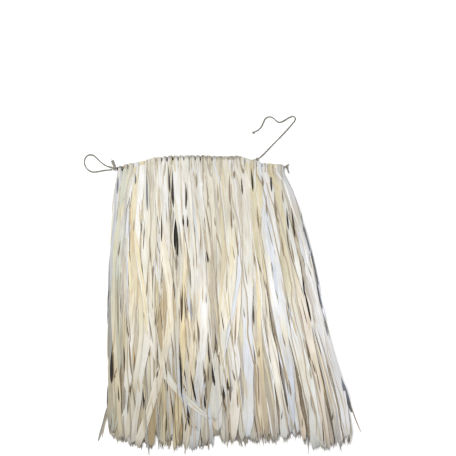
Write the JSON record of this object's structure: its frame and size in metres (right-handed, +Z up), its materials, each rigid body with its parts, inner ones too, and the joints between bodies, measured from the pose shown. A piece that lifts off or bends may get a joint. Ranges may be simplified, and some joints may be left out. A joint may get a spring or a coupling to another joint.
{
  "type": "grass skirt",
  "caption": "Grass skirt laid flat: long pale dried-leaf strips folded in bundles over a waist cord, with a fastening loop at one end and a long loose tie.",
  "frame": {"origin": "centre of the laid skirt's outline on the surface that it lies on, its loose ties left out", "axes": "+Y from the hem to the waist, +X to the right of the laid skirt as seen from above, +Z up from the surface"},
  "size_m": [0.7129, 0.8936, 0.018],
  "materials": {
    "dried_leaf": "dry satin leaf strip, ivory to tan",
    "cord_fibre": "twisted plant-fibre cord"
  },
  "bodies": {
    "root": {"bundle_01": "dried_leaf", "bundle_02": "dried_leaf", "bundle_03": "dried_leaf", "bundle_04": "dried_leaf", "bundle_05": "dried_leaf", "bundle_06": "dried_leaf", "bundle_07": "dried_leaf", "bundle_08": "dried_leaf", "bundle_09": "dried_leaf", "bundle_10": "dried_leaf", "bundle_11": "dried_leaf", "bundle_12": "dried_leaf", "bundle_13": "dried_leaf", "bundle_14": "dried_leaf", "bundle_15": "dried_leaf", "bundle_16": "dried_leaf", "bundle_17": "dried_leaf", "bundle_18": "dried_leaf", "bundle_19": "dried_leaf", "bundle_20": "dried_leaf", "bundle_21": "dried_leaf", "bundle_22": "dried_leaf", "bundle_23": "dried_leaf", "bundle_24": "dried_leaf", "bundle_25": "dried_leaf", "bundle_26": "dried_leaf", "bundle_27": "dried_leaf", "bundle_28": "dried_leaf", "bundle_29": "dried_leaf", "bundle_30": "dried_leaf", "waist_cord": "cord_fibre", "loop_knot": "cord_fibre", "end_knot": "cord_fibre", "tie_knot": "cord_fibre", "tie_loop": "cord_fibre", "tie_tail": "cord_fibre", "tail_knot": "cord_fibre"}
  },
  "joints": []
}
